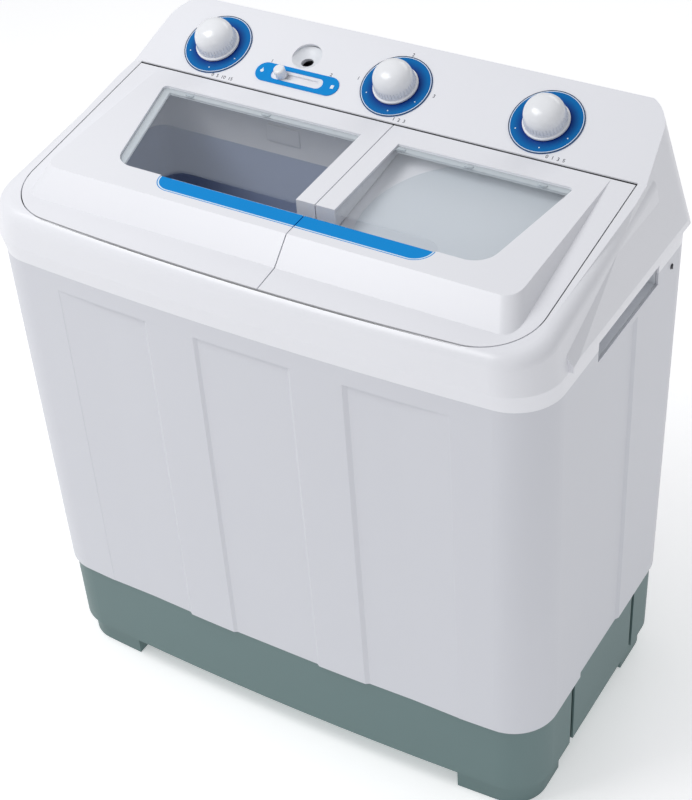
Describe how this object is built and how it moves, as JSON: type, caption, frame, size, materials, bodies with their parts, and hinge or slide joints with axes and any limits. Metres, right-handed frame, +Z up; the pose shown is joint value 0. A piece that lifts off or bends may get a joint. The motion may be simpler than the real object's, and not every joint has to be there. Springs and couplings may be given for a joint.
{
  "type": "twin tub washer",
  "caption": "Twin tub washing machine: wash tub with pulsator and spin basket side by side, hinged see-through lids, sloping panel with dials and a water slider.",
  "frame": {"origin": "centre of the footprint on the floor, under the feet", "axes": "+Z up, front towards -Y, right towards +X"},
  "size_m": [0.764, 0.44, 0.841],
  "materials": {
    "white_shell": "smooth satin moulded",
    "white_cabinet": "smooth satin moulded",
    "grey_base": "fine grained moulded",
    "rear_plate": "coated sheet",
    "screw_steel": "zinc plated",
    "white_inner": "moulded",
    "knob_white": "polished moulded",
    "black_case": "moulded",
    "blue_trim": "metallic blue gloss",
    "clear_pane": "clear moulded",
    "inner_lid_plastic": "translucent moulded",
    "tub_plastic": "smooth moulded",
    "pulsator_plastic": "smooth moulded",
    "basket_plastic": "smooth moulded",
    "rubber_parts": "matt",
    "hose_rubber": "matt",
    "bearing_bronze": "machined",
    "steel_parts": "turned",
    "cast_parts": "die cast",
    "motor_metal": "stamped shell",
    "bracket_metal": "zinc plated pressed"
  },
  "bodies": {
    "cabinet": {"base_skirt": "grey_base", "cabinet_shell": "white_cabinet", "cord_gland": "black_case", "dial_rings": "blue_trim", "drain_hose": "hose_rubber", "drain_spigot": "hose_rubber", "drain_valve_body": "white_inner", "drive_belt": "rubber_parts", "foot_front_left": "grey_base", "foot_front_right": "grey_base", "foot_rear_left": "grey_base", "foot_rear_right": "grey_base", "grip_cups": "white_inner", "inlet_channel": "white_inner", "inlet_scoop": "white_inner", "lid_bumpers": "rubber_parts", "lid_hinge_brackets": "white_inner", "lid_hinge_pins": "screw_steel", "lint_filter": "white_inner", "motor_capacitors": "black_case", "rear_cover": "rear_plate", "rear_cover_screws": "screw_steel", "selector_case": "black_case", "slider_bezel": "blue_trim", "spin_bellows_seal": "rubber_parts", "spin_motor": "motor_metal", "spin_mount_arms": "bracket_metal", "spin_mount_cups": "bracket_metal", "spin_mount_springs": "steel_parts", "spin_outer_tub": "tub_plastic", "spin_timer_case": "black_case", "top_deck": "white_shell", "wash_bearing_housing": "cast_parts", "wash_bearings": "bearing_bronze", "wash_motor": "motor_metal", "wash_motor_hanger": "bracket_metal", "wash_timer_case": "black_case", "wash_tub": "tub_plastic"},
    "wash_lid": {"wash_lid_frame": "white_shell", "wash_lid_window": "clear_pane", "wash_lid_strip": "blue_trim"},
    "spin_lid": {"spin_lid_frame": "white_shell", "spin_lid_window": "clear_pane", "spin_lid_strip": "blue_trim"},
    "inner_lid": {"spin_inner_lid": "inner_lid_plastic"},
    "pulsator_drive": {"pulsator": "pulsator_plastic", "pulsator_shaft": "steel_parts", "pulsator_screw": "screw_steel", "wash_pulley": "cast_parts"},
    "wash_motor_rotor": {"motor_pulley": "cast_parts"},
    "basket_drive": {"spin_basket": "basket_plastic", "basket_balance_ring": "basket_plastic", "spin_shaft": "steel_parts", "brake_drum": "cast_parts"},
    "brake": {"brake_lever": "bracket_metal"},
    "wash_timer_dial": {"wash_timer_knob": "knob_white"},
    "selector_dial": {"selector_knob": "knob_white"},
    "spin_timer_dial": {"spin_timer_knob": "knob_white"},
    "water_slider": {"slider_knob": "knob_white"},
    "drain_plunger": {"drain_valve_plunger": "bracket_metal"}
  },
  "joints": [
    {"name": "wash_lid_hinge", "type": "hinge", "parent": "cabinet", "child": "wash_lid", "pos_m": [-0.166, 0.092, 0.77], "axis": [-1, 0, 0], "range_deg": [0, 90]},
    {"name": "spin_lid_hinge", "type": "hinge", "parent": "cabinet", "child": "spin_lid", "pos_m": [0.188, 0.092, 0.77], "axis": [-1, 0, 0], "range_deg": [0, 90]},
    {"name": "inner_lid_hinge", "type": "hinge", "parent": "cabinet", "child": "inner_lid", "pos_m": [0.19, 0.094, 0.76167], "axis": [-1, 0, 0], "range_deg": [0, 80]},
    {"name": "pulsator_turn", "type": "hinge", "parent": "cabinet", "child": "pulsator_drive", "pos_m": [-0.16, -0.025, 0.2], "axis": [0, 0, 1], "continuous": true},
    {"name": "wash_motor_turn", "type": "hinge", "parent": "cabinet", "child": "wash_motor_rotor", "pos_m": [-0.285, -0.025, 0.09], "axis": [0, 0, 1], "continuous": true},
    {"name": "basket_turn", "type": "hinge", "parent": "cabinet", "child": "basket_drive", "pos_m": [0.19, -0.03, 0.4], "axis": [0, 0, 1], "continuous": true},
    {"name": "brake_press", "type": "hinge", "parent": "cabinet", "child": "brake", "pos_m": [0.256, 0.04, 0.2], "axis": [0, 0, -1], "range_deg": [0, 0.5]},
    {"name": "wash_timer_turn", "type": "hinge", "parent": "cabinet", "child": "wash_timer_dial", "pos_m": [-0.255, 0.14481, 0.81296], "axis": [0, 0.4226, -0.9063], "range_deg": [0, 300]},
    {"name": "selector_turn", "type": "hinge", "parent": "cabinet", "child": "selector_dial", "pos_m": [0.007, 0.14481, 0.81296], "axis": [0, 0.4226, -0.9063], "range_deg": [0, 180]},
    {"name": "spin_timer_turn", "type": "hinge", "parent": "cabinet", "child": "spin_timer_dial", "pos_m": [0.21, 0.14481, 0.81296], "axis": [0, 0.4226, -0.9063], "range_deg": [0, 270]},
    {"name": "water_slide", "type": "slide", "parent": "cabinet", "child": "water_slider", "axis": [1, 0, 0], "range_m": [0, 0.045]},
    {"name": "drain_lift", "type": "slide", "parent": "cabinet", "child": "drain_plunger", "axis": [0, 0, 1], "range_m": [0, 0.01]}
  ],
  "couplings": [
    {"joint": "inner_lid_hinge", "follows": "spin_lid_hinge", "ratio": 0.8},
    {"joint": "wash_motor_turn", "follows": "pulsator_turn", "ratio": 3.125},
    {"joint": "brake_press", "follows": "spin_lid_hinge", "ratio": 0.005},
    {"joint": "drain_lift", "follows": "selector_turn", "m_per_rad": 0.003151}
  ]
}
